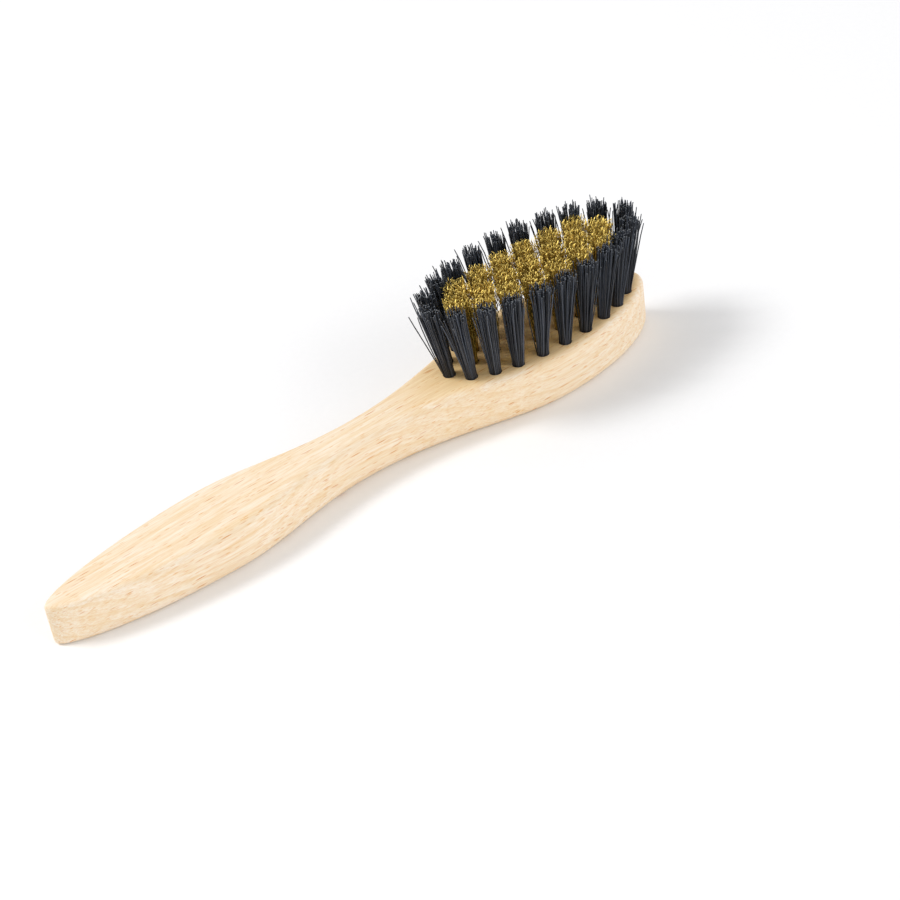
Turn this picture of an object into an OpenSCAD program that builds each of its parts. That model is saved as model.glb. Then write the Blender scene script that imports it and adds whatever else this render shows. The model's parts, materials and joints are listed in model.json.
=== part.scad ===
// Suede brush: one piece of pale wood, with a leaf-shaped handle, a waisted neck and an oval head,
// set with a ring of black bristle tufts round a staggered field of brass wire tufts.
// X runs from the butt of the handle to the toe of the head, and Z points up along the bristles.
// The origin is under the middle of the brush, on the flat back that it rests on.

/* [Wooden body] */
// Length from the butt of the handle to the toe of the head
body_length = 191; // [186:1:200]
// Thickness of the neck and the head
head_thick = 14.2; // [13:0.1:16]
// Thickness at the butt of the handle
butt_thick = 12.2; // [11:0.1:13]
// Widest part of the handle
handle_width = 21.2; // [18:0.1:24]
// Narrowest part of the neck
neck_width = 10.6; // [9.6:0.1:13]
// Widest part of the head
head_width = 31; // [29.4:0.1:34]
// Radius of the eased edges along the handle and the head
edge_round = 2.3; // [1.8:0.1:2.5]
// Radius of the eased edges at the neck, where the hand has most to hold
neck_round = 3.4; // [2.5:0.1:3.8]
// Radius of the eased edges at the narrow butt
butt_round = 1.3; // [0.8:0.1:1.4]

/* [Tuft field] */
// Distance from the middle of the brush to the middle of the tuft field
field_at = 59.1; // [57:0.1:59.2]
// Length of the black ring, between the centres of its end tufts
ring_length = 60.6; // [59:0.1:61]
// Width of the black ring, between the centres of its widest pair
ring_width = 23.2; // [22.6:0.1:23.6]
// Pitch of the tufts along the rows
row_pitch = 7.5; // [7.3:0.1:7.6]
// Lean of the last tuft at the handle end, in degrees
heel_lean = 9.5; // [8:0.5:12]
// Lean of the last tuft at the toe, in degrees
toe_lean = 8.5; // [5:0.5:8.5]
// Outward lean of the widest pair of side tufts, in degrees
side_lean = 8.5; // [6:0.5:9]

/* [Tufts] */
// Diameter of a tuft hole
hole_d = 3.5; // [3.3:0.1:3.8]
// Depth of a tuft hole along its own axis
hole_depth = 8; // [6:0.5:9]
// Trimmed height of the black bristles above the wood
bristle_trim = 21.8; // [18:0.2:24]
// Trimmed height of the brass wires above the wood
wire_trim = 20.8; // [17:0.2:23]
// Radius to which the outer bristles of a black tuft spread at their tips
bristle_spread = 2.5; // [1.6:0.1:2.5]
// Radius to which the outer wires of a brass tuft spread at their tips
wire_spread = 2.4; // [1.5:0.1:2.5]
// Thickness of one strand
strand_w = 0.7; // [0.5:0.05:0.7]
// Most that a strand ends above or below the trimmed height
tip_uneven = 0.6; // [0:0.1:1]

/* [Anchors] */
// Width of an anchor plate across its hole
anchor_w = 3.1; // [2.6:0.1:3.2]
// Height of an anchor plate
anchor_h = 1.8; // [1.2:0.1:2.4]
// Thickness of an anchor plate
anchor_t = 0.4; // [0.3:0.05:0.6]

/* [Hidden] */
// Places along X where the outline is widest or narrowest
butt_at = -body_length / 2;
handle_at = butt_at + 48.5;
neck_at = butt_at + 92.3;
head_at = butt_at + 151;
toe_at = body_length / 2;

// Lengths of the outline's tangents: the longer one is, the flatter the curve starts there
butt_tangent = 4.6;
handle_tangents = [23.5, 14.5];
neck_tangents = [18, 26.5];
head_tangents = [16.5, 26.2];
toe_tangent = 5.4;

// Steps along the four curves of the outline, and round a quarter of an eased edge
curve_steps = [14, 12, 14, 18];
edge_steps = 4;

// Places of the ring's paired tufts along the field, on either side of its widest pair
ring_stations = [row_pitch, 2 * row_pitch, 21.3, 27];
// Brass rows: a middle row of 7, and a row of 6 on either side, half a pitch out of step
middle_reach = 3;
side_reach = 2.5;
// Share of the ring's width at which the side rows of brass stand
side_row_share = 0.48;
// The lean grows faster than the distance from the middle of the field
lean_power = 1.4;

// Strands of a tuft: an outer and an inner circle, with their radii where they leave the hole
outer_strands = 9;
inner_strands = 3;
outer_share = 0.76;
inner_share = 0.3;
// Depth at which the strands grow together into the packed root, and the root's rise above the wood
root_join = 1;
root_rise = 0.3;
// Every tuft is turned on from the one before it, so that no two look alike
tuft_turn = 137.5;
// Every anchor lies at this angle across its hole
anchor_turn = 45;
// How far a hole's cutter reaches past the bristle face
cutter_rise = 2;

wood = "#ecd3a6";
bristle_black = "#23242a";
brass_wire = "#b8923a";
anchor_metal = "#a9a9a4";

// Ring half width at a distance along the field
function ring_y(dx) = ring_width / 2 * sqrt(1 - pow(dx / (ring_length / 2), 2));

stations = concat([for (i = [3:-1:0]) -ring_stations[i]], [0], ring_stations);
black_spots = concat(
    [[-ring_length / 2, 0]],
    [for (side = [1, -1], dx = stations) [dx, side * ring_y(dx)]],
    [[ring_length / 2, 0]]
);
brass_spots = concat(
    [for (k = [-middle_reach:middle_reach]) [k * row_pitch, 0]],
    [for (side = [1, -1], k = [-side_reach:side_reach])
        [k * row_pitch, side * side_row_share * ring_y(k * row_pitch)]]
);
all_spots = concat(black_spots, brass_spots);

function numbered(name, i) = str(name, i < 9 ? "0" : "", i + 1);
black_names = [for (i = [0:len(black_spots) - 1]) numbered("black_tuft_", i)];
brass_names = [for (i = [0:len(brass_spots) - 1]) numbered("brass_tuft_", i)];

// Point and direction on a cubic curve from a to d, with control points b and c
function curve_point(a, b, c, d, t) =
    a * pow(1 - t, 3) + 3 * b * t * pow(1 - t, 2) + 3 * c * t * t * (1 - t) + d * pow(t, 3);
function curve_heading(a, b, c, d, t) =
    (b - a) * pow(1 - t, 2) + 2 * (c - b) * t * (1 - t) + (d - c) * t * t;
function smooth(t) = t * t * (3 - 2 * t);
function blend(a, b, t) = a + (b - a) * smooth(max(0, min(1, t)));

// The outline's +Y half as four curves: corner points, and the edge radius at either end
outline_curves = [
    [[butt_at, 0], [butt_at, butt_tangent],
        [handle_at - handle_tangents[0], handle_width / 2], [handle_at, handle_width / 2],
        butt_round, edge_round],
    [[handle_at, handle_width / 2], [handle_at + handle_tangents[1], handle_width / 2],
        [neck_at - neck_tangents[0], neck_width / 2], [neck_at, neck_width / 2],
        edge_round, neck_round],
    [[neck_at, neck_width / 2], [neck_at + neck_tangents[1], neck_width / 2],
        [head_at - head_tangents[0], head_width / 2], [head_at, head_width / 2],
        neck_round, edge_round],
    [[head_at, head_width / 2], [head_at + head_tangents[1], head_width / 2],
        [toe_at, toe_tangent], [toe_at, 0],
        edge_round, edge_round],
];

// One outline station: where it is, its outward direction, and its edge radius
function station(c, t) =
    let (h = curve_heading(c[0], c[1], c[2], c[3], t))
    [curve_point(c[0], c[1], c[2], c[3], t), [-h[1], h[0]] / norm(h), blend(c[4], c[5], t)];
half_outline = concat(
    [for (i = [0:3], k = [0:curve_steps[i] - 1]) station(outline_curves[i], k / curve_steps[i])],
    [station(outline_curves[3], 1)]
);
last = len(half_outline) - 1;
around = 2 * last;

// Height of the bristle side: level over the neck and head, and a little lower towards the butt
function top_at(x) = blend(butt_thick, head_thick, (x - butt_at) / (neck_at - butt_at));

// A body point: outline station i, moved in and up the eased edge of level j
levels = 2 * (edge_steps + 1);
function level_angle(j) = 90 * (j <= edge_steps ? j : j - edge_steps - 1) / edge_steps;
function body_point(i, j, side) =
    let (
        s = half_outline[i],
        a = level_angle(j),
        low = j <= edge_steps,
        inset = s[2] * (low ? 1 - sin(a) : 1 - cos(a)),
        p = s[0] - s[1] * inset,
        z = low ? s[2] * (1 - cos(a)) : top_at(s[0][0]) - s[2] * (1 - sin(a))
    )
    [p[0], side * p[1], z];
body_points = [for (j = [0:levels - 1])
    for (i = [0:around - 1])
        i <= last ? body_point(i, j, 1) : body_point(around - i, j, -1)];

// Walls between neighbouring levels, then the back and the bristle side as strips across
function wall(i, j) =
    let (a = j * around + i, b = j * around + (i + 1) % around)
    [[a, b, b + around], [a, b + around, a + around]];
function strip(i, base) = i == 0
    ? [[base, base + 1, base + around - 1]]
    : i == last - 1
        ? [[base + i, base + last, base + around - i]]
        : [[base + i, base + i + 1, base + around - i - 1],
            [base + i, base + around - i - 1, base + around - i]];
function turned_over(faces) = [for (f = faces) [f[2], f[1], f[0]]];
body_faces = concat(
    [for (j = [0:levels - 2], i = [0:around - 1], f = wall(i, j)) f],
    [for (i = [0:last - 1], f = turned_over(strip(i, 0))) f],
    [for (i = [0:last - 1], f = strip(i, (levels - 1) * around)) f]
);

// Lean of a tuft along X and along Y, in degrees
function lean_x(spot) =
    let (u = spot[0] / (ring_length / 2))
    sign(u) * pow(abs(u), lean_power) * (u < 0 ? heel_lean : toe_lean);
function lean_y(spot) = side_lean * spot[1] / (ring_width / 2);

// Length along a tuft's own axis at which a strand at p meets the level of the trim
function trimmed(p, spot, trim) =
    (trim + p[0] * sin(lean_x(spot))) / (cos(lean_x(spot)) * cos(lean_y(spot)))
    + p[1] * tan(lean_y(spot));

// Moves its children from the origin to a tuft's hole, with Z along the tuft
module at_spot(spot) {
    translate([field_at + spot[0], spot[1], head_thick])
        rotate([-lean_y(spot), lean_x(spot), 0])
            children();
}

// One strand: a square prism from a to b, with a flat side turned towards the tuft's middle
module strand(a, b, turn) {
    corners = [for (k = [0:3]) strand_w / sqrt(2) * [cos(turn + 45 + 90 * k), sin(turn + 45 + 90 * k), 0]];
    polyhedron(
        points = concat([for (c = corners) a + c], [for (c = corners) b + c]),
        faces = concat(
            [[0, 1, 2], [0, 2, 3], [7, 6, 5], [7, 5, 4]],
            [for (k = [0:3], f = [[k, k + 4, (k + 1) % 4 + 4], [k, (k + 1) % 4 + 4, (k + 1) % 4]]) f]
        )
    );
}

// A circle of strands that spreads from the hole to the trimmed tips
module strand_circle(spot, count, base_r, tip_r, trim, turn, seed) {
    uneven = rands(-tip_uneven, tip_uneven, count, seed);
    for (k = [0:count - 1]) {
        angle = turn + 360 * k / count;
        out = [cos(angle), sin(angle), 0];
        tip = tip_r * out;
        slope = (tip_r - base_r) / trim;
        strand(
            (base_r - slope * root_join) * out - [0, 0, root_join],
            tip + [0, 0, trimmed(tip, spot, trim) + uneven[k]],
            angle
        );
    }
}

// An anchor plate at the bottom of its hole
module anchor() {
    rotate([0, 0, anchor_turn])
        translate([-anchor_w / 2, -anchor_t / 2, -hole_depth])
            cube([anchor_w, anchor_t, anchor_h]);
}

// A tuft: strands folded round their anchor, packed solid inside the hole and spread above it
module tuft(spot, trim, spread, index) {
    at_spot(spot) {
        difference() {
            translate([0, 0, -hole_depth])
                cylinder(d = hole_d, h = hole_depth + root_rise, $fn = 48);
            anchor();
        }
        strand_circle(spot, outer_strands, outer_share * hole_d / 2, spread, trim,
            tuft_turn * index, index);
        strand_circle(spot, inner_strands, inner_share * hole_d / 2, spread * inner_share / outer_share,
            trim, tuft_turn * index + 180 / inner_strands, index + len(all_spots));
    }
}

module wooden_body() {
    color(wood)
        difference() {
            polyhedron(points = body_points, faces = body_faces);
            for (spot = all_spots)
                at_spot(spot)
                    translate([0, 0, -hole_depth])
                        cylinder(d = hole_d, h = hole_depth + cutter_rise, $fn = 48);
        }
}

module tuft_anchors() {
    color(anchor_metal)
        for (spot = all_spots)
            at_spot(spot)
                anchor();
}

module black_tuft(i) {
    color(bristle_black)
        tuft(black_spots[i], bristle_trim, bristle_spread, i);
}

module brass_tuft(i) {
    color(brass_wire)
        tuft(brass_spots[i], wire_trim, wire_spread, len(black_spots) + i);
}

wooden_body();
tuft_anchors();
for (i = [0:len(black_spots) - 1])
    black_tuft(i);
for (i = [0:len(brass_spots) - 1])
    brass_tuft(i);
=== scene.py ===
# %% [markdown]
# A suede brush in three materials: one piece of pale beech, a ring of black bristle tufts
# and a field of crimped brass wire tufts inside the ring.
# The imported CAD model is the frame. It fixes where every piece is, and this lesson gives each
# piece its finished shape and surface in the same place.
# Lengths are written in millimetres, as a brush maker would, and turned into metres once.

# %% Open the frame
import json
import math
import random

import bmesh
import bpy
from mathutils import Matrix, Vector
from mathutils.geometry import interpolate_bezier

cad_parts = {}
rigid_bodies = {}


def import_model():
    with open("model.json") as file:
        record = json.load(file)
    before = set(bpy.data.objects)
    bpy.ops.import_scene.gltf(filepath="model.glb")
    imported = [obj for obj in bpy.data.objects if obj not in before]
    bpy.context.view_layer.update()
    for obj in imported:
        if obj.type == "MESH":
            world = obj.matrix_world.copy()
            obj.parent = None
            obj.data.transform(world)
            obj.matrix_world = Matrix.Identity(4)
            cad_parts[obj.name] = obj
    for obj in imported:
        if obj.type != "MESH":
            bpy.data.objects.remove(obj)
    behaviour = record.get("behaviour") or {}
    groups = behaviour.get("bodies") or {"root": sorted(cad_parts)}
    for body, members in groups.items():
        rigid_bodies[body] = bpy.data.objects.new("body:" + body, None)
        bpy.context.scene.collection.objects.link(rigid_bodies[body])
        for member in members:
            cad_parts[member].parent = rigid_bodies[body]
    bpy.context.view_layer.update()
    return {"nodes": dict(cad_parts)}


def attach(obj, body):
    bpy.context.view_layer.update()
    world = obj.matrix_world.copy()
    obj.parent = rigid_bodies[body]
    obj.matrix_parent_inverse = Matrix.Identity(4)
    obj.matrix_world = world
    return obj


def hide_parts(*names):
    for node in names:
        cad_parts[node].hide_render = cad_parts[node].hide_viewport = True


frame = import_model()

MM = 0.001

# %% [markdown]
# A brush drawing starts with the outline of the wood.
# Four smooth curves run from the butt round the leaf-shaped handle, into the narrow neck,
# out to the widest part of the head and round the toe. Each curve is a Bezier curve: two ends
# and two points that pull it. Neighbouring curves share the direction in which they meet, so
# the outline has no corner. Only one side is drawn, because the other is its mirror image.

# %% Draw half of the outline
BUTT_AT = -95.5
HANDLE_AT = -47.0
NECK_AT = -3.2
HEAD_AT = 55.5
TOE_AT = 95.5
HANDLE_HALF = 10.6
NECK_HALF = 5.3
HEAD_HALF = 15.5

BUTT_PULL = 4.6
HANDLE_PULLS = (23.5, 14.5)
NECK_PULLS = (18, 26.5)
HEAD_PULLS = (16.5, 26.2)
TOE_PULL = 5.4


def level_knot(at, half, pulls):
    """A place where the outline runs straight along the brush: pull back, knot, pull ahead."""
    pull_back, pull_ahead = pulls
    return [(at - pull_back, half), (at, half), (at + pull_ahead, half)]


handle = level_knot(HANDLE_AT, HANDLE_HALF, HANDLE_PULLS)
neck = level_knot(NECK_AT, NECK_HALF, NECK_PULLS)
head = level_knot(HEAD_AT, HEAD_HALF, HEAD_PULLS)
outline_curves = [
    [(BUTT_AT, 0), (BUTT_AT, BUTT_PULL)] + handle[:2],
    handle[1:] + neck[:2],
    neck[1:] + head[:2],
    head[1:] + [(TOE_AT, TOE_PULL), (TOE_AT, 0)],
]
CURVE_POINTS = [30, 22, 26, 34]

outline = [Vector((BUTT_AT, 0, 0))]
for curve, count in zip(outline_curves, CURVE_POINTS):
    knots = [Vector((x, y, 0)) for x, y in curve]
    outline += interpolate_bezier(*knots, count)[1:]
print("outline points on one side:", len(outline))

# %% [markdown]
# The long edges are eased to a round. In the photograph they are rounder at the neck, where
# fingers hold the brush, and tighter at the butt.
# The wood is also a little thinner towards the butt.
# Both change smoothly along the brush, so each is a small function of the place along it.

# %% Thickness and edge radius along the brush
BUTT_THICK = 12.2
HEAD_THICK = 14.2
BUTT_ROUND = 1.3
EDGE_ROUND = 2.3
NECK_ROUND = 3.4


def ease(value, start, end):
    """0 before start, 1 after end, and an even, soft change between them."""
    share = min(max((value - start) / (end - start), 0), 1)
    return share * share * (3 - 2 * share)


def top_at(x):
    """Height of the bristle side above the flat back."""
    return BUTT_THICK + (HEAD_THICK - BUTT_THICK) * ease(x, BUTT_AT, NECK_AT)


def edge_radius(x):
    """Radius of the eased edge at this place along the brush."""
    radius = BUTT_ROUND + (EDGE_ROUND - BUTT_ROUND) * ease(x, BUTT_AT, HANDLE_AT)
    radius += (NECK_ROUND - EDGE_ROUND) * ease(x, HANDLE_AT, NECK_AT)
    return radius - (NECK_ROUND - EDGE_ROUND) * ease(x, NECK_AT, HEAD_AT)


places = (BUTT_AT, NECK_AT, HEAD_AT)
print("edge radius at butt, neck, head:", [round(edge_radius(x), 2) for x in places])

# %% [markdown]
# The half body is made the way a sheet is folded round a former.
# One line of vertices lies along the middle of the back. It is extruded again and again: out to
# the edge, round the lower easing, up the side, round the upper easing and back to the middle
# of the bristle side. After each extrusion the new line is moved to its place on the profile.
# At the butt and the toe a line that is moved inward would cross the middle and fold over
# itself, so it is cut off where it meets the middle.
# A mirror then makes the other half, and merging the doubles closes the seam and both ends.

# %% Fold the half body from one line
EASE_STEPS = 7
FLAT_MARGIN = 0.5
ON_MIDDLE = 0.0001


def outward_at(index):
    """Level direction that points out of the wood at an outline point."""
    if index == 0:
        return Vector((-1, 0, 0))
    if index == len(outline) - 1:
        return Vector((1, 0, 0))
    along = outline[index + 1] - outline[index - 1]
    return Vector((-along.y, along.x, 0)).normalized()


def profile_stations():
    """Steps round the section: 1 out from the middle, radii inward, radii up or down, 1 on top."""
    quarter = [math.radians(90 * step / EASE_STEPS) for step in range(EASE_STEPS + 1)]
    lower = [(1, 1 - math.sin(a), 1 - math.cos(a), 0) for a in quarter]
    upper = [(1, 1 - math.cos(a), 1 - math.sin(a), 1) for a in quarter]
    back = [(0, 0, 0, 0), (1, 1 + FLAT_MARGIN, 0, 0)]
    side = [(1, 0, 1 + FLAT_MARGIN, 0), (1, 0, 1 + FLAT_MARGIN, 1)]
    bristle_side = [(1, 1 + FLAT_MARGIN, 0, 1), (0, 0, 0, 1)]
    return back + lower + side + upper + bristle_side


def close_end(points):
    """A line that crosses the middle near its first point starts at the crossing instead."""
    first = next(index for index, point in enumerate(points) if point.y > ON_MIDDLE)
    before, after = points[first - 1], points[first]
    start = before.lerp(after, -before.y / (after.y - before.y))
    return [start.copy() for _ in range(first)] + points[first:]


def inset_line(inward):
    """The outline moved inward by a share of its edge radius, with both ends closed."""
    moved = [
        spot - outward_at(index) * edge_radius(spot.x) * inward
        for index, spot in enumerate(outline)
    ]
    return close_end(close_end(moved)[::-1])[::-1]


def profile_line(station):
    """Places of all the outline points at one station of the profile."""
    reach, inward, up, on_top = station
    if reach:
        points = inset_line(inward)
    else:
        flat_edge = inset_line(1 + FLAT_MARGIN)
        low, high = flat_edge[0].x, flat_edge[-1].x
        points = [Vector((min(max(spot.x, low), high), 0, 0)) for spot in outline]
    for point, spot in zip(points, outline):
        height = edge_radius(spot.x) * up
        point.z = top_at(point.x) - height if on_top else height
    return points


stations = profile_stations()
body_mesh = bmesh.new()
line = [body_mesh.verts.new(point) for point in profile_line(stations[0])]
for first, second in zip(line, line[1:]):
    body_mesh.edges.new((first, second))
for station in stations[1:]:
    edges = [body_mesh.edges.get(pair) for pair in zip(line, line[1:])]
    grown = bmesh.ops.extrude_edge_only(body_mesh, edges=edges)["geom"]
    fresh = set(part for part in grown if isinstance(part, bmesh.types.BMVert))
    line = [next(e.other_vert(v) for e in v.link_edges if e.other_vert(v) in fresh) for v in line]
    for vertex, point in zip(line, profile_line(station)):
        vertex.co = point
print("faces on one half:", len(body_mesh.faces))

# %% Mirror, close and scale the body
WELD = 0.004
SLIVER = 0.001
bmesh.ops.remove_doubles(body_mesh, verts=body_mesh.verts, dist=WELD)
half_body = body_mesh.verts[:] + body_mesh.edges[:] + body_mesh.faces[:]
bmesh.ops.mirror(body_mesh, geom=half_body, axis="Y", merge_dist=WELD)
bmesh.ops.remove_doubles(body_mesh, verts=body_mesh.verts, dist=WELD)
bmesh.ops.dissolve_degenerate(body_mesh, edges=body_mesh.edges, dist=SLIVER)
bmesh.ops.recalc_face_normals(body_mesh, faces=body_mesh.faces)
bmesh.ops.scale(body_mesh, verts=body_mesh.verts, vec=(MM, MM, MM))
open_edges = [e for e in body_mesh.edges if len(e.link_faces) != 2]
print("open edges:", len(open_edges), "volume in cm3:", round(body_mesh.calc_volume() * 1e6, 1))

# %% [markdown]
# The holes are drilled from the bristle side in a fixed pattern: a ring of twenty for the
# bristle and three rows for the wire, the outer two half a pitch out of step with the middle.
# Each hole leans a little away from the middle of the field, so that the tufts fan out.

# %% Lay out the holes
FIELD_AT = 59.1
RING_LENGTH = 60.6
RING_WIDTH = 23.2
ROW_PITCH = 7.5
HEEL_LEAN = 9.5
TOE_LEAN = 8.5
SIDE_LEAN = 8.5
LEAN_POWER = 1.4
HOLE_RADIUS = 1.75
HOLE_DEPTH = 8.0
OUTER_ROW_SHARE = 0.48


def ring_y(dx):
    """Half width of the bristle ring at this distance from the middle of the field."""
    return RING_WIDTH / 2 * math.sqrt(1 - (dx / (RING_LENGTH / 2)) ** 2)


side_stations = [-27, -21.3, -15, -7.5, 0, 7.5, 15, 21.3, 27]
black_spots = [(-RING_LENGTH / 2, 0)]
black_spots += [(dx, ring_y(dx)) for dx in side_stations]
black_spots += [(dx, -ring_y(dx)) for dx in side_stations]
black_spots += [(RING_LENGTH / 2, 0)]

brass_spots = [(step * ROW_PITCH, 0) for step in range(-3, 4)]
for side in (1, -1):
    for step in range(-3, 3):
        dx = (step + 0.5) * ROW_PITCH
        brass_spots.append((dx, side * OUTER_ROW_SHARE * ring_y(dx)))


def hole_matrix(spot):
    """Place and lean of a hole: its origin is at the mouth and its Z axis points out of the wood."""
    dx, y = spot
    share = dx / (RING_LENGTH / 2)
    lean = HEEL_LEAN if dx < 0 else TOE_LEAN
    lean_x = math.copysign(abs(share) ** LEAN_POWER * lean, share)
    lean_y = SIDE_LEAN * y / (RING_WIDTH / 2)
    along = Matrix.Rotation(math.radians(lean_x), 4, "Y")
    sideways = Matrix.Rotation(math.radians(-lean_y), 4, "X")
    return Matrix.Translation((FIELD_AT + dx, y, HEAD_THICK)) @ (along @ sideways)


print("holes:", len(black_spots), "for bristle and", len(brass_spots), "for wire")

# %% [markdown]
# Drilling is a Boolean: a bundle of 39 round cutters is taken away from the wood.
# The modifier is evaluated at once and the result kept as a plain mesh, so the piece is solid
# geometry with real holes.

# %% Drill the holes
def to_object(name, mesh_data):
    """Turns a bmesh into an object at the origin."""
    mesh = bpy.data.meshes.new(name)
    mesh_data.to_mesh(mesh)
    mesh_data.free()
    made = bpy.data.objects.new(name, mesh)
    bpy.context.scene.collection.objects.link(made)
    return made


CUTTER_OVER = 2.0
CUTTER_SIDES = 32
BODY_SHARP = math.radians(45)
cutter_mesh = bmesh.new()
for spot in black_spots + brass_spots:
    length = HOLE_DEPTH + CUTTER_OVER
    place = hole_matrix(spot) @ Matrix.Translation((0, 0, length / 2 - HOLE_DEPTH))
    bmesh.ops.create_cone(
        cutter_mesh,
        cap_ends=True,
        segments=CUTTER_SIDES,
        radius1=HOLE_RADIUS,
        radius2=HOLE_RADIUS,
        depth=length,
        matrix=place,
    )
bmesh.ops.scale(cutter_mesh, verts=cutter_mesh.verts, vec=(MM, MM, MM))
cutters = to_object("cutters", cutter_mesh)
beech_body = to_object("beech_body", body_mesh)

drill = beech_body.modifiers.new("drill", "BOOLEAN")
drill.operation = "DIFFERENCE"
drill.solver = "EXACT"
drill.object = cutters
depsgraph = bpy.context.evaluated_depsgraph_get()
drilled = bpy.data.meshes.new_from_object(beech_body.evaluated_get(depsgraph))
beech_body.modifiers.clear()
beech_body.data = drilled
bpy.data.objects.remove(cutters)
drilled.shade_smooth()
drilled.set_sharp_from_angle(angle=BODY_SHARP)
print("faces of the drilled body:", len(drilled.polygons))

# %% [markdown]
# Materials are small networks of shader nodes. A few helpers keep them short. The first adds a
# node with its settings, the second opens a node group with named sockets, and the rest are
# small steps that several materials share.
# Patterns in the wood are measured in millimetres on the piece itself, so the beech first turns
# the object's metres into millimetres.

# %% Helpers for materials
def add_node(tree, kind, inputs=(), **settings):
    """Adds a shader node, sets its properties, and fills or links the inputs that are given."""
    node = tree.nodes.new(kind)
    for name, value in settings.items():
        setattr(node, name, value)
    for name, value in dict(inputs).items():
        if isinstance(value, bpy.types.NodeSocket):
            tree.links.new(value, node.inputs[name])
        else:
            node.inputs[name].default_value = value
    return node


def new_group(name, inputs, outputs):
    """An empty node group. Each socket is given as (name, kind, default)."""
    group = bpy.data.node_groups.new(name, "ShaderNodeTree")
    for label, kind, default in inputs:
        socket = group.interface.new_socket(label, in_out="INPUT", socket_type="NodeSocket" + kind)
        if default is not None:
            socket.default_value = default
    for label, kind in outputs:
        group.interface.new_socket(label, in_out="OUTPUT", socket_type="NodeSocket" + kind)
    return group, group.nodes.new("NodeGroupInput"), group.nodes.new("NodeGroupOutput")


def math_node(tree, operation, first, second=0.0, clamp=False):
    """One sum, product or other operation on two values. Gives its result socket."""
    node = add_node(tree, "ShaderNodeMath", {0: first, 1: second}, operation=operation, use_clamp=clamp)
    return node.outputs[0]


def blend_colours(tree, factor, first, second, mode="MIX"):
    """Mixes two colours by a factor. Gives the result socket."""
    node = add_node(tree, "ShaderNodeMix", data_type="RGBA", blend_type=mode)
    for index, value in ((0, factor), (6, first), (7, second)):
        if isinstance(value, bpy.types.NodeSocket):
            tree.links.new(value, node.inputs[index])
        else:
            node.inputs[index].default_value = value
    return node.outputs[2]


def srgb(red, green, blue):
    """Turns a colour as it looks on screen, 0 to 255, into the linear values that nodes use."""
    linear = []
    for channel in (red, green, blue):
        share = channel / 255
        linear.append(share / 12.92 if share <= 0.04045 else ((share + 0.055) / 1.055) ** 2.4)
    return (*linear, 1.0)


def new_material(name):
    """A node material with its Principled shader."""
    material = bpy.data.materials.new(name)
    material.use_nodes = True
    return material, material.node_tree, material.node_tree.nodes["Principled BSDF"]


def fine_noise(tree, scale):
    """Fine even noise that stays with the piece. Scale is cells in a metre."""
    coordinates = add_node(tree, "ShaderNodeTexCoord")
    inputs = {"Vector": coordinates.outputs["Object"], "Scale": scale, "Detail": 2.0}
    return add_node(tree, "ShaderNodeTexNoise", inputs).outputs[0]


def map_to(tree, value, low, high):
    """Maps 0 to 1 onto low to high."""
    inputs = {"Value": value, "To Min": low, "To Max": high}
    return add_node(tree, "ShaderNodeMapRange", inputs).outputs[0]


def darken(tree, colour, shade):
    """Multiplies a colour by a single value."""
    grey = add_node(tree, "ShaderNodeCombineColor", {0: shade, 1: shade, 2: shade})
    return blend_colours(tree, 1.0, colour, grey.outputs[0], "MULTIPLY")


# %% [markdown]
# Beech is pale and even. What makes it beech is its rays: thousands of short, thin, brownish
# dashes that lie along the grain on every face. Under them run long soft streaks and faint
# yearly rings. All of these lie in the wood, not on it, so the patterns are solid: they are
# three-dimensional, stretched along the handle, and the carved shape cuts through them. That
# is why the grain runs straight while the edges of the neck curve across it.
# The rays are tilted by nearly half a right angle, so they show alike on the level bristle
# side and on the upright sides.

# %% Group: streaks along the grain
streak_group, group_in, group_out = new_group(
    "Grain streaks",
    [
        ("Place", "Vector", None),
        ("Length", "Float", 60.0),
        ("Width", "Float", 1.0),
        ("Detail", "Float", 2.0),
    ],
    [("Streak", "Float")],
)
stretch = add_node(streak_group, "ShaderNodeCombineXYZ", {
    "X": group_in.outputs["Length"],
    "Y": group_in.outputs["Width"],
    "Z": group_in.outputs["Width"],
})
scaled = add_node(streak_group, "ShaderNodeVectorMath", {
    0: group_in.outputs["Place"],
    1: stretch.outputs[0],
}, operation="DIVIDE")
noise = add_node(streak_group, "ShaderNodeTexNoise", {
    "Vector": scaled.outputs[0],
    "Scale": 1.0,
    "Detail": group_in.outputs["Detail"],
    "Roughness": 0.6,
})
streak_group.links.new(noise.outputs[0], group_out.inputs["Streak"])
print("group:", streak_group.name)

# %% Group: ray flecks
fleck_group, group_in, group_out = new_group(
    "Ray flecks",
    [
        ("Place", "Vector", None),
        ("Length", "Float", 5.5),
        ("Width", "Float", 0.6),
        ("Height", "Float", 0.8),
        ("Size", "Float", 0.25),
        ("Share", "Float", 0.5),
    ],
    [("Fleck", "Float")],
)
FLECK_CORE = 0.55
FAINTEST = 0.25
stretch = add_node(fleck_group, "ShaderNodeCombineXYZ", {
    "X": group_in.outputs["Length"],
    "Y": group_in.outputs["Width"],
    "Z": group_in.outputs["Height"],
})
scaled = add_node(fleck_group, "ShaderNodeVectorMath", {
    0: group_in.outputs["Place"],
    1: stretch.outputs[0],
}, operation="DIVIDE")
cells = add_node(fleck_group, "ShaderNodeTexVoronoi", {"Vector": scaled.outputs[0], "Scale": 1.0})
split = add_node(fleck_group, "ShaderNodeSeparateColor", {0: cells.outputs["Color"]})
near = add_node(fleck_group, "ShaderNodeMapRange", {
    "Value": cells.outputs["Distance"],
    "From Min": group_in.outputs["Size"],
    "From Max": math_node(fleck_group, "MULTIPLY", group_in.outputs["Size"], FLECK_CORE),
})
chosen = math_node(fleck_group, "LESS_THAN", split.outputs[0], group_in.outputs["Share"])
depth = math_node(fleck_group, "MULTIPLY_ADD", split.outputs[1], 1 - FAINTEST)
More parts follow.
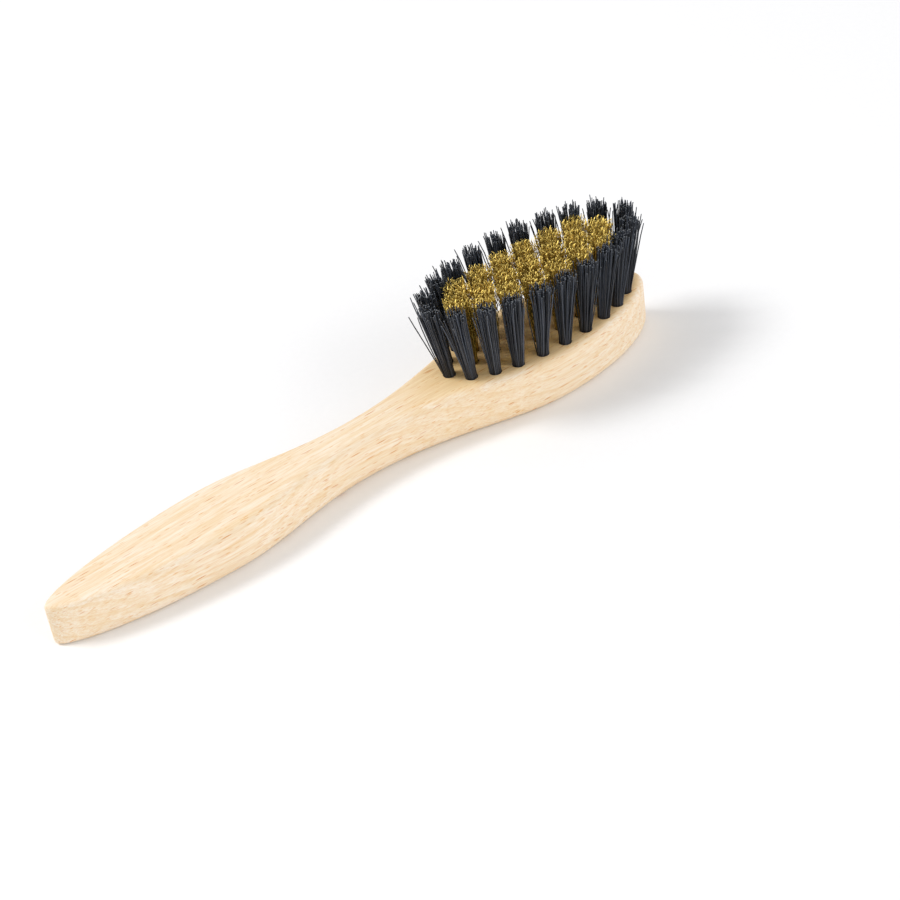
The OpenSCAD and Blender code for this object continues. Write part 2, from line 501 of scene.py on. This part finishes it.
depth.node.inputs[2].default_value = FAINTEST
masked = math_node(fleck_group, "MULTIPLY", near.outputs[0], chosen)
fleck_group.links.new(math_node(fleck_group, "MULTIPLY", masked, depth), group_out.inputs["Fleck"])
print("group:", fleck_group.name)

# %% Beech
beech, tree, shader = new_material("beech")
coordinates = add_node(tree, "ShaderNodeTexCoord")
place = add_node(tree, "ShaderNodeVectorMath", {0: coordinates.outputs["Object"]}, operation="SCALE")
place.inputs["Scale"].default_value = 1 / MM
place = place.outputs[0]


def streaks(length, width, detail=2.0):
    """Noise drawn out along the grain, 0 to 1."""
    node = add_node(tree, "ShaderNodeGroup", node_tree=streak_group)
    tree.links.new(place, node.inputs["Place"])
    node.inputs["Length"].default_value = length
    node.inputs["Width"].default_value = width
    node.inputs["Detail"].default_value = detail
    return node.outputs["Streak"]


RAY_TILT = math.radians(42)
tilted = add_node(tree, "ShaderNodeMapping", {"Vector": place, "Rotation": (RAY_TILT, 0, 0)})


def flecks(**sizes):
    """Short dashes along the grain, 0 to 1."""
    node = add_node(tree, "ShaderNodeGroup", node_tree=fleck_group)
    tree.links.new(tilted.outputs[0], node.inputs["Place"])
    for label, value in sizes.items():
        node.inputs[label].default_value = value
    return node.outputs["Fleck"]


def spread(socket, low, high):
    """Maps low to high onto 0 to 1."""
    node = add_node(tree, "ShaderNodeMapRange", {"Value": socket, "From Min": low, "From Max": high})
    return node.outputs[0]


def vector_step(operation, first, second=(0.0, 0.0, 0.0)):
    """One step of vector arithmetic."""
    return add_node(tree, "ShaderNodeVectorMath", {0: first, 1: second}, operation=operation)


# %% [markdown]
# Yearly rings are circles round the heart of the trunk, which lies far outside this narrow
# blank, so on the brush they show as broad, nearly straight bands. Each ends in darker late wood.

# %% Yearly rings
TRUNK_HEART = (0.0, 62.0, -78.0)
RING_PITCH = 2.7
RING_WANDER = 5.0
across = vector_step("MULTIPLY", place, (0.0, 1.0, 1.0))
from_heart = vector_step("SUBTRACT", across.outputs[0], TRUNK_HEART)
distance = vector_step("LENGTH", from_heart.outputs[0])
wander = math_node(tree, "MULTIPLY", streaks(70, 9, 1.0), RING_WANDER)
rings = math_node(tree, "ADD", distance.outputs["Value"], wander)
rings = math_node(tree, "FRACT", math_node(tree, "DIVIDE", rings, RING_PITCH))
late_wood = add_node(tree, "ShaderNodeValToRGB", {0: rings})
late_wood.color_ramp.elements[0].color = (0, 0, 0, 1)
late_wood.color_ramp.elements[1].color = (0, 0, 0, 1)
late_wood.color_ramp.elements.new(0.55).color = (0.15, 0.15, 0.15, 1)
late_wood.color_ramp.elements.new(0.93).color = (1, 1, 1, 1)

# %% [markdown]
# The plank isn't one colour all over. In the photograph it warms from the handle to the head
# and pales again at the toe. The level side among the tufts is the most golden because the brass
# throws yellow light onto it, and that reflected light is painted into the wood's colour here.
# So three soft masks follow the shape: one for the head, one for the toe, and one round the tufts
# for the painted brass reflection.

# %% Where the wood is warmer or paler, and where the brass light is painted
HEAD_WARMS = (NECK_AT - 22, NECK_AT + 38)
TOE_PALES = (TOE_AT - 50, TOE_AT - 7)
# where the painted brass reflection fades round the field, and the band of the level side it keeps to
BRASS_LIGHT_FADES = (1.7, 0.8)
TOP_BAND = (HEAD_THICK - 0.7, HEAD_THICK - 0.1)
RING_SHARE = (2 / RING_LENGTH, 2 / RING_WIDTH, 0.0)
split_place = add_node(tree, "ShaderNodeSeparateXYZ", {0: place})
head_end = spread(split_place.outputs["X"], *HEAD_WARMS)
toe_end = spread(split_place.outputs["X"], *TOE_PALES)
from_field = vector_step("SUBTRACT", place, (FIELD_AT, 0.0, 0.0))
in_reaches = vector_step("MULTIPLY", from_field.outputs[0], RING_SHARE)
field_distance = vector_step("LENGTH", in_reaches.outputs[0])
near_field = spread(field_distance.outputs["Value"], *BRASS_LIGHT_FADES)
on_top = spread(split_place.outputs["Z"], *TOP_BAND)
painted_brass_reflection = math_node(tree, "MULTIPLY", near_field, on_top)


def tint(colour, mask, amount, towards):
    """Leads a colour towards another where the mask is 1."""
    return blend_colours(tree, math_node(tree, "MULTIPLY", mask, amount), colour, towards)


# %% [markdown]
# The finish is put together from the back to the front: soft bands, the warm and pale places,
# the painted yellow reflection of the brass round the tufts, late wood, fine lines and last the
# rays. Raw sanded wood hardly shines, and its pores break the light a little, so the roughness
# and a very shallow bump follow them.

# %% Colour, roughness and pores of the beech
pale = srgb(250, 238, 220)
straw = srgb(245, 223, 188)
# painted reflection: the yellow light that the brass throws onto the wood among the tufts
brass_light_gold = srgb(250, 208, 126)
late = srgb(236, 203, 152)
ray_brown = srgb(228, 172, 104)
ray_dark = srgb(214, 144, 74)
soft_bands = spread(streaks(90, 3.4), 0.35, 0.68)
fine_lines = spread(streaks(15, 0.6, 3.0), 0.42, 0.72)
hair_lines = spread(streaks(6, 0.25), 0.45, 0.8)
short_rays = flecks(Length=3.9, Width=1.4, Height=0.55, Size=0.25, Share=1.0)
long_rays = flecks(Length=10.5, Width=2.6, Height=0.75, Size=0.2, Share=0.85)
colour = tint(pale, soft_bands, 0.5, straw)
colour = tint(colour, head_end, 0.35, straw)
colour = tint(colour, toe_end, 0.9, pale)
# painted reflection of the brass light, only on the level side round the tufts
colour = tint(colour, painted_brass_reflection, 0.85, brass_light_gold)
colour = tint(colour, late_wood.outputs[0], 0.4, late)
colour = tint(colour, fine_lines, 0.75, late)
colour = tint(colour, hair_lines, 0.45, ray_brown)
colour = tint(colour, short_rays, 0.75, ray_brown)
colour = tint(colour, long_rays, 0.9, ray_dark)
tree.links.new(colour, shader.inputs["Base Color"])
shader.inputs["Specular IOR Level"].default_value = 0.2

PORE_DEPTH = 0.05 * MM
pores = streaks(3.0, 0.12, 1.0)
tree.links.new(map_to(tree, pores, 0.44, 0.62), shader.inputs["Roughness"])
relief = math_node(tree, "SUBTRACT", pores, math_node(tree, "MULTIPLY", short_rays, 0.4))
bump = add_node(tree, "ShaderNodeBump", {"Height": relief, "Strength": 0.25, "Distance": PORE_DEPTH})
tree.links.new(bump.outputs[0], shader.inputs["Normal"])

drilled.materials.clear()
drilled.materials.append(beech)
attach(beech_body, "root")
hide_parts("wooden_body")
print("beech nodes:", len(tree.nodes))

# %% [markdown]
# Bristle and wire are the same kind of shape: a thin rod, 1600 times in bristle and 2090 times
# in wire. So each is modelled once, as a cone with equal ends that is cut into rings, and copies
# of it are bent along paths. A copy has only a few dozen faces.
# Each vertex of a strand also carries two numbers for its material: how far along the strand it
# is, and a tone that belongs to the whole strand, because no two hairs are quite alike.

# %% Make one strand to copy
def strand_pattern(name, sides, rings):
    """A straight strand of radius 1 from Z 0 to Z 1, cut into equal lengths."""
    pattern = bmesh.new()
    bmesh.ops.create_cone(pattern, cap_ends=True, segments=sides, radius1=1, radius2=1, depth=1)
    bmesh.ops.translate(pattern, verts=pattern.verts, vec=(0, 0, 0.5))
    long_edges = [e for e in pattern.edges if abs(e.verts[0].co.z - e.verts[1].co.z) > 0.5]
    bmesh.ops.subdivide_edges(pattern, edges=long_edges, cuts=rings - 1, use_grid_fill=True)
    mesh = bpy.data.meshes.new(name)
    pattern.to_mesh(mesh)
    pattern.free()
    print(name, "faces:", len(mesh.polygons))
    return mesh


def lay_strand(tuft, pattern, path, radii, tone):
    """Adds one copy of the pattern to the tuft and bends it along the path, in metres."""
    known = len(tuft.verts)
    tuft.from_mesh(pattern)
    tuft.verts.ensure_lookup_table()
    along_layer = tuft.verts.layers.float["along"]
    tone_layer = tuft.verts.layers.float["tone"]
    last = len(path) - 1
    heading = (path[last] - path[0]).normalized()
    side = heading.orthogonal().normalized()
    other = heading.cross(side)
    for vertex in tuft.verts[known:]:
        ring = round(vertex.co.z * last)
        offset = side * vertex.co.x + other * vertex.co.y
        vertex[along_layer] = ring / last
        vertex[tone_layer] = tone
        vertex.co = (path[ring] + offset * radii[ring]) * MM


BRISTLE_SIDES = 5
BRISTLE_RINGS = 7
WIRE_SIDES = 3
WIRE_RINGS = 18
bristle_pattern = strand_pattern("bristle_pattern", BRISTLE_SIDES, BRISTLE_RINGS)
wire_pattern = strand_pattern("wire_pattern", WIRE_SIDES, WIRE_RINGS)

# %% [markdown]
# Every tuft is a bundle folded in half over a small steel anchor and driven into its hole.
# Its strands fill the hole like seeds fill a sunflower head, each turned 137.5 degrees from the
# last, and spread out above the wood to a cut that is level but never quite even.
# Strands that meet the anchor start above it, and the rest pass beside it to the bottom.

# %% Paths of the strands
GOLDEN_TURN = math.radians(137.5)
ANCHOR_TURN = math.radians(45)
ANCHOR_TOP = -6.2
ANCHOR_HALF = 0.2
ABOVE_ANCHOR = 0.1
ABOVE_BOTTOM = 0.15
STRAND_SHARP = math.radians(75)


def shake(dice, amount):
    """A small random step sideways."""
    return Vector((dice.gauss(0, amount), dice.gauss(0, amount), 0))


def clip(value, low, high):
    """The value, held between low and high."""
    return max(low, min(high, value))


def strand_ends(index, count, pack_radius, spread_radius, dice, jitter):
    """Where a strand leaves the hole and where it ends sideways, both in the tuft's own plane."""
    share = math.sqrt((index + 0.5) / count)
    angle = index * GOLDEN_TURN
    across = Vector((math.cos(angle), math.sin(angle), 0))
    start = across * share * pack_radius
    end = across * share * spread_radius
    end += shake(dice, jitter)
    return start, end


def start_depth(start, radius):
    """Depth at which a strand starts: at the bottom, or above the anchor where it would meet it."""
    off_anchor = abs(start.y * math.cos(ANCHOR_TURN) - start.x * math.sin(ANCHOR_TURN))
    if off_anchor < ANCHOR_HALF + radius:
        return ANCHOR_TOP + ABOVE_ANCHOR
    return -HOLE_DEPTH + ABOVE_BOTTOM


def root_points(matrix, start, radius):
    """The two points of a strand inside its hole: where it starts and where it leaves the wood."""
    depth = start_depth(start, radius)
    return [matrix @ (start + Vector((0, 0, depth))), matrix @ start]


def new_tuft():
    """An empty tuft whose vertices can carry the two numbers for the material."""
    tuft = bmesh.new()
    tuft.verts.layers.float.new("along")
    tuft.verts.layers.float.new("tone")
    return tuft


def height_for(matrix, end, level):
    """Height in the tuft's own frame at which a point with that sideways place reaches a level."""
    rise = level - matrix.translation.z - matrix[2][0] * end.x - matrix[2][1] * end.y
    return rise / matrix[2][2]


# %% [markdown]
# Black bristle: eighty hairs of a third of a millimetre to a tuft. They leave the hole packed
# tight, bow slightly and gather into a few clumps. Some stray ones lean out of the bundle,
# most of all at the handle end. Their cut ends are lighter than their sides.

# %% Black bristle tufts
BRISTLE_RADIUS = 0.165
BRISTLE_COUNT = 80
BRISTLE_PACK = 1.54
BRISTLE_SPREAD = 3.1
BRISTLE_LEVEL = HEAD_THICK + 21.8
BRISTLE_SEED = 4100
BRISTLE_JITTER = 0.24
BRISTLE_BOW = 0.17
BRISTLE_TIP = 0.2
TIP_SHARE = 0.8
FLARE = 1.12
CLUMPS = 7
CLUMP_SCATTER = 1.4
CLUMP_PULL = 0.22
STRAYS = 8
STRAY_OUT = (0.3, 1.2)
STRAY_DROP = 0.9


def bristle_path(matrix, start, end, level, bow, tip_bend):
    """Points of one bristle from the bottom of its hole to its cut end."""
    height = height_for(matrix, end, level)
    points = root_points(matrix, start, BRISTLE_RADIUS)
    steps = BRISTLE_RINGS - 1
    for step in range(1, steps + 1):
        share = step / steps
        sideways = start.lerp(end, share ** FLARE) + bow * (4 * share * (1 - share))
        points.append(matrix @ (sideways + Vector((0, 0, height * share))))
    points[-1] += tip_bend
    return points


def bristle_tuft(number, spot):
    """All the bristles of one hole as one mesh."""
    dice = random.Random(BRISTLE_SEED + number)
    matrix = hole_matrix(spot)
    tuft = new_tuft()
    outward = Vector((spot[0] / (RING_LENGTH / 2), spot[1] / (RING_WIDTH / 2), 0)).normalized()
    heel_share = max(0, -spot[0] / (RING_LENGTH / 2)) ** 4
    farthest_out = 0.4 + 1.8 * heel_share
    pushed = Vector((-dice.uniform(0.4, 2.8), dice.gauss(0, 0.5), 0))
    clumps = [shake(dice, CLUMP_SCATTER) for _ in range(CLUMPS)]
    radii = [BRISTLE_RADIUS] * BRISTLE_RINGS + [BRISTLE_RADIUS * TIP_SHARE]
    for index in range(BRISTLE_COUNT):
        start, end = strand_ends(
            index, BRISTLE_COUNT, BRISTLE_PACK, BRISTLE_SPREAD, dice, BRISTLE_JITTER
        )
        nearest = min(clumps, key=lambda clump: (clump - end).length)
        end = end.lerp(nearest, CLUMP_PULL)
        level = BRISTLE_LEVEL + clip(dice.gauss(0.05, 0.65), -2.4, 1.0)
        bow = shake(dice, BRISTLE_BOW)
        tip_bend = shake(dice, BRISTLE_TIP)
        if index >= BRISTLE_COUNT - STRAYS:
            stray = start.normalized() * dice.uniform(*STRAY_OUT)
            stray += outward * dice.uniform(0, farthest_out)
            end += stray
            end += pushed * dice.uniform(0, 1 - heel_share)
            level -= dice.uniform(0, STRAY_DROP)
        path = bristle_path(matrix, start, end, level, bow, tip_bend)
        lay_strand(tuft, bristle_pattern, path, radii, dice.random())
    return tuft


def finish_tuft(name, tuft, material, node):
    """Turns a tuft into a finished piece that stands for its CAD node."""
    piece = to_object(name, tuft)
    piece.data.shade_smooth()
    piece.data.set_sharp_from_angle(angle=STRAND_SHARP)
    piece.data.materials.append(material)
    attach(piece, "root")
    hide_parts(node)
    return piece


# %% Group: tone of a strand
CUT_STARTS = 0.995
tone_group, group_in, group_out = new_group(
    "Strand tone",
    [("Root", "Float", 0.6), ("Tip", "Float", 1.0), ("Vary", "Float", 0.3)],
    [("Shade", "Float"), ("Tone", "Float"), ("Cut", "Float")],
)
along = add_node(tone_group, "ShaderNodeAttribute", attribute_name="along")
tone = add_node(tone_group, "ShaderNodeAttribute", attribute_name="tone")
# painted shade: each strand is made darker towards its root, where the tuft shades it, and full colour
# at its tip
rise = map_to(tone_group, along.outputs["Fac"], group_in.outputs["Root"], group_in.outputs["Tip"])
vary = math_node(tone_group, "SUBTRACT", tone.outputs["Fac"], 0.5)
vary = math_node(tone_group, "MULTIPLY", vary, group_in.outputs["Vary"])
shade = math_node(tone_group, "MULTIPLY", rise, math_node(tone_group, "ADD", vary, 1.0))
tone_group.links.new(shade, group_out.inputs["Shade"])
tone_group.links.new(tone.outputs["Fac"], group_out.inputs["Tone"])
cut_end = math_node(tone_group, "GREATER_THAN", along.outputs["Fac"], CUT_STARTS)
tone_group.links.new(cut_end, group_out.inputs["Cut"])
print("group:", tone_group.name)

# %% Black bristle material
bristle, tree, shader = new_material("black_bristle")
strand = add_node(tree, "ShaderNodeGroup", node_tree=tone_group)
# painted shade at the roots of the bristles
strand.inputs["Root"].default_value = 0.75
strand.inputs["Tip"].default_value = 1.0
strand.inputs["Vary"].default_value = 0.7
coal = blend_colours(tree, strand.outputs["Tone"], srgb(33, 36, 42), srgb(62, 68, 79))
coal = darken(tree, coal, strand.outputs["Shade"])
coal = blend_colours(tree, strand.outputs["Cut"], coal, srgb(104, 108, 114))
tree.links.new(coal, shader.inputs["Base Color"])
tree.links.new(map_to(tree, fine_noise(tree, 900.0), 0.28, 0.5), shader.inputs["Roughness"])

bristle_faces = 0
for number, spot in enumerate(black_spots, 1):
    piece = finish_tuft(
        f"black_bristles_{number:02d}",
        bristle_tuft(number, spot),
        bristle,
        f"black_tuft_{number:02d}",
    )
    bristle_faces += len(piece.data.polygons)
print("black tufts:", len(black_spots), "faces:", bristle_faces)

# %% [markdown]
# Brass wire is crimped before it is cut, so that the strands hold each other apart.
# Each wire is a fine zigzag in a plane of its own, smoothed by its shading into a wave. The
# crimps are tighter near the top, and the tips are slightly hooked.

# %% Brass wire tufts
WIRE_RADIUS = 0.115
WIRE_COUNT = 110
WIRE_PACK = 1.45
WIRE_SPREAD = 3.7
WIRE_LEVEL = HEAD_THICK + 20.8
WIRE_SEED = 7300
WIRE_JITTER = 0.2
WIRE_DRIFT = 0.15
CRIMP = 0.28
CRIMP_CHANGE = (0.7, 1.2)
CRIMP_TIGHTENS = 0.65
CRIMP_SHIFT = 0.35
TIP_HOOK = 0.16


def wire_path(matrix, start, end, level, dice):
    """Points of one crimped wire."""
    height = height_for(matrix, end, level)
    points = root_points(matrix, start, WIRE_RADIUS)
    turn = dice.uniform(0, math.tau)
    wave = Vector((math.cos(turn), math.sin(turn), 0)) * CRIMP
    drift = shake(dice, WIRE_DRIFT)
    steps = WIRE_RINGS - 1
    phase = dice.uniform(-CRIMP_SHIFT, CRIMP_SHIFT)
    for step in range(1, steps + 1):
        share = (step / steps) ** CRIMP_TIGHTENS
        rise = min(1, share + phase / steps * (step < steps))
        sideways = start.lerp(end, rise) + drift * (4 * rise * (1 - rise))
        swing = (1 if step % 2 else -1) * dice.uniform(*CRIMP_CHANGE) * min(1, 3 * share)
        points.append(matrix @ (sideways + wave * swing + Vector((0, 0, height * rise))))
    hook = shake(dice, TIP_HOOK)
    hook.z = -abs(dice.gauss(0, TIP_HOOK))
    points[-1] += hook
    return points


def wire_tuft(number, spot):
    """All the wires of one hole as one mesh."""
    dice = random.Random(WIRE_SEED + number)
    matrix = hole_matrix(spot)
    tuft = new_tuft()
    radii = [WIRE_RADIUS] * (WIRE_RINGS + 1)
    for index in range(WIRE_COUNT):
        start, end = strand_ends(index, WIRE_COUNT, WIRE_PACK, WIRE_SPREAD, dice, WIRE_JITTER)
        level = WIRE_LEVEL + clip(dice.gauss(0, 0.35), -1.0, 0.7)
        path = wire_path(matrix, start, end, level, dice)
        lay_strand(tuft, wire_pattern, path, radii, dice.random())
    return tuft


# %% Brass material
brass, tree, shader = new_material("brass_wire")
strand = add_node(tree, "ShaderNodeGroup", node_tree=tone_group)
# painted shade at the roots of the wires
strand.inputs["Root"].default_value = 0.85
strand.inputs["Tip"].default_value = 1.0
strand.inputs["Vary"].default_value = 0.8
gold = blend_colours(tree, strand.outputs["Tone"], srgb(176, 147, 60), srgb(226, 200, 108))
gold = darken(tree, gold, strand.outputs["Shade"])
gold = blend_colours(tree, strand.outputs["Cut"], gold, srgb(232, 208, 120))
tree.links.new(gold, shader.inputs["Base Color"])
tree.links.new(map_to(tree, fine_noise(tree, 700.0), 0.45, 0.65), shader.inputs["Roughness"])
shader.inputs["Metallic"].default_value = 0.6

wire_faces = 0
for number, spot in enumerate(brass_spots, 1):
    piece = finish_tuft(
        f"brass_wires_{number:02d}",
        wire_tuft(number, spot),
        brass,
        f"brass_tuft_{number:02d}",
    )
    wire_faces += len(piece.data.polygons)
print("brass tufts:", len(brass_spots), "faces:", wire_faces)
bpy.data.meshes.remove(bristle_pattern)
bpy.data.meshes.remove(wire_pattern)

# %% [markdown]
# The anchors sit at the bottom of the holes, out of sight. Their CAD shape is right as it is:
# a small flat blank of steel wire. They only need a finish: drawn steel, dull grey, with fine
# lines along the drawing direction.

# %% Steel of the anchors
steel, tree, shader = new_material("anchor_steel")
DRAWN_LINES = (2500, 2500, 300)
coordinates = add_node(tree, "ShaderNodeTexCoord")
lines = add_node(tree, "ShaderNodeMapping", {
    "Vector": coordinates.outputs["Object"],
    "Scale": DRAWN_LINES,
})
drawn = add_node(tree, "ShaderNodeTexNoise", {"Vector": lines.outputs[0], "Scale": 1.0, "Detail": 2.0})
drawn_steel = blend_colours(tree, drawn.outputs[0], srgb(150, 150, 152), srgb(188, 188, 190))
tree.links.new(drawn_steel, shader.inputs["Base Color"])
tree.links.new(map_to(tree, drawn.outputs[0], 0.3, 0.5), shader.inputs["Roughness"])
shader.inputs["Metallic"].default_value = 1.0
anchors = frame["nodes"]["tuft_anchors"]
for slot_index in range(len(anchors.data.materials)):
    anchors.data.materials[slot_index] = steel
if not anchors.data.materials:
    anchors.data.materials.append(steel)
print("anchor material slots:", len(anchors.data.materials))

# %% [markdown]
# The stage is a plain pale floor. It is wide enough to fill the picture from any usual angle.
# It keeps the brush's soft shadow. Away from the brush the lamps fade, so there the camera sees
# it as plain white, like the background, and the horizon doesn't show.

# %% Floor
FLOOR_DROP = 0.05
FLOOR_HALF = 4
PAPER_SEEN = 0.35
PAPER_GONE = 0.8
floor_mesh = bmesh.new()
bmesh.ops.create_grid(floor_mesh, x_segments=1, y_segments=1, size=FLOOR_HALF)
bmesh.ops.translate(floor_mesh, verts=floor_mesh.verts, vec=(0, 0, -FLOOR_DROP * MM))
floor = to_object("floor", floor_mesh)
paper, tree, shader = new_material("floor_paper")
fibre = blend_colours(tree, fine_noise(tree, 600.0), srgb(250, 250, 251), srgb(253, 253, 254))
tree.links.new(fibre, shader.inputs["Base Color"])
shader.inputs["Roughness"].default_value = 0.9
shader.inputs["Specular IOR Level"].default_value = 0.1
coordinates = add_node(tree, "ShaderNodeTexCoord")
from_middle = vector_step("LENGTH", coordinates.outputs["Object"])
far_away = spread(from_middle.outputs["Value"], PAPER_SEEN, PAPER_GONE)
rays = add_node(tree, "ShaderNodeLightPath")
whitened = math_node(tree, "MULTIPLY", far_away, rays.outputs["Is Camera Ray"])
plain_white = add_node(tree, "ShaderNodeEmission", {"Color": (1, 1, 1, 1), "Strength": 1.0})
surface = add_node(tree, "ShaderNodeMixShader", {
    0: whitened,
    1: shader.outputs[0],
    2: plain_white.outputs[0],
})
tree.links.new(surface.outputs[0], tree.nodes["Material Output"].inputs["Surface"])
floor.data.materials.append(paper)
print("floor size in m:", [round(v, 2) for v in floor.dimensions])

# %% [markdown]
# Plain soft studio light: an even surround, a fairly small lamp from the upper left behind
# the brush, and a large low one from the right in front. The surround is seen as white, but
# lights the brush less, so that the lamps can still give the shapes some direction.

# %% Light
SURROUND = 0.6
KEY_AT = (-0.75, 0.65, 1.25)
KEY_SIZE = 0.5
KEY_WATTS = 12.6
FRONT_AT = (0.7, -1.3, 0.5)
FRONT_SIZE = 1.4
FRONT_WATTS = 10.2
world = bpy.data.worlds.new("studio")
bpy.context.scene.world = world
world.use_nodes = True
tree = world.node_tree
tree.nodes.clear()
rays = add_node(tree, "ShaderNodeLightPath")
seen = math_node(tree, "ADD", rays.outputs["Is Camera Ray"], rays.outputs["Is Glossy Ray"])
seen = math_node(tree, "ADD", seen, rays.outputs["Is Transmission Ray"], clamp=True)
lighting = add_node(tree, "ShaderNodeBackground", {"Color": (1, 1, 1, 1), "Strength": SURROUND})
white = add_node(tree, "ShaderNodeBackground", {"Color": (1, 1, 1, 1), "Strength": 1.0})
either = add_node(tree, "ShaderNodeMixShader", {0: seen, 1: lighting.outputs[0], 2: white.outputs[0]})
add_node(tree, "ShaderNodeOutputWorld", {"Surface": either.outputs[0]})


def soft_lamp(name, place, size, power):
    """A square area lamp that looks at the middle of the brush."""
    lamp_data = bpy.data.lights.new(name, "AREA")
    lamp_data.shape = "SQUARE"
    lamp_data.size = size
    lamp_data.energy = power
    lamp = bpy.data.objects.new(name, lamp_data)
    lamp.location = place
    lamp.rotation_euler = (-Vector(place)).to_track_quat("-Z", "Y").to_euler()
    lamp.visible_camera = False
    bpy.context.scene.collection.objects.link(lamp)
    return lamp


soft_lamp("key_lamp", KEY_AT, KEY_SIZE, KEY_WATTS)
soft_lamp("front_lamp", FRONT_AT, FRONT_SIZE, FRONT_WATTS)

# %% [markdown]
# The camera stands where the photographer's seems to have stood. Its place and its long lens
# were fitted to the outlines and the tuft holes in the photograph, and it is rolled by nine
# degrees.

# %% Camera
CAMERA_AT = (-0.23226, -0.39961, 0.33650)
CAMERA_RIGHT = (0.77988, -0.61277, -0.12767)
CAMERA_UP = (0.44687, 0.40226, 0.79906)
SENSOR_MM = 36.0
LENS_MM = 87.634
camera_data = bpy.data.cameras.new("camera")
camera_data.sensor_width = SENSOR_MM
camera_data.lens = LENS_MM
camera_data.clip_start = 0.01
camera_data.clip_end = 20.0
camera = bpy.data.objects.new("camera", camera_data)
bpy.context.scene.collection.objects.link(camera)
right = Vector(CAMERA_RIGHT)
up = Vector(CAMERA_UP)
axes = Matrix((right, up, right.cross(up))).transposed().to_4x4()
camera.matrix_world = Matrix.Translation(CAMERA_AT) @ axes
bpy.context.scene.camera = camera
bpy.context.scene.view_settings.view_transform = "Standard"
print("camera lens in mm:", camera_data.lens)
